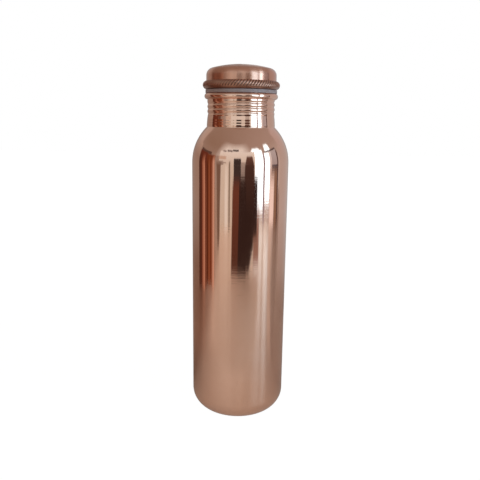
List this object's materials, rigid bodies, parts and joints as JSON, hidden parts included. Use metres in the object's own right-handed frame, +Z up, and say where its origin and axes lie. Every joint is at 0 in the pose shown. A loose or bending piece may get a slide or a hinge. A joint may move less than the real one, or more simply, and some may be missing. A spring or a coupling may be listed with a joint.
{
  "type": "water bottle",
  "caption": "Copper water bottle with a straight barrel, domed shoulder, threaded neck and a screw-in cap with a knurled grip bead and a silicone gasket.",
  "frame": {"origin": "middle of the base, on the surface that the bottle stands on", "axes": "+Z up along the bottle's axis, from base to cap"},
  "size_m": [0.073, 0.073, 0.2694],
  "materials": {
    "body_copper": "copper, mirror polished above and brushed below",
    "cap_copper": "copper, satin, with a knurled bead",
    "plug_copper": "copper, plain drawn",
    "silicone": "grey silicone, matt"
  },
  "bodies": {
    "bottle": {"bottle_body": "body_copper"},
    "seal": {"gasket": "silicone"},
    "cap": {"cap_shell": "cap_copper", "cap_plug": "plug_copper"}
  },
  "joints": [
    {"name": "cap_lift", "type": "slide", "parent": "bottle", "child": "seal", "axis": [0, 0, 1], "range_m": [0, 0.0204]},
    {"name": "cap_turn", "type": "hinge", "parent": "seal", "child": "cap", "pos_m": [0, 0, 0.2512], "axis": [0, 0, 1], "range_deg": [0, 2160]}
  ],
  "couplings": [
    {"joint": "cap_lift", "follows": "cap_turn", "m_per_rad": 0.00054113}
  ]
}
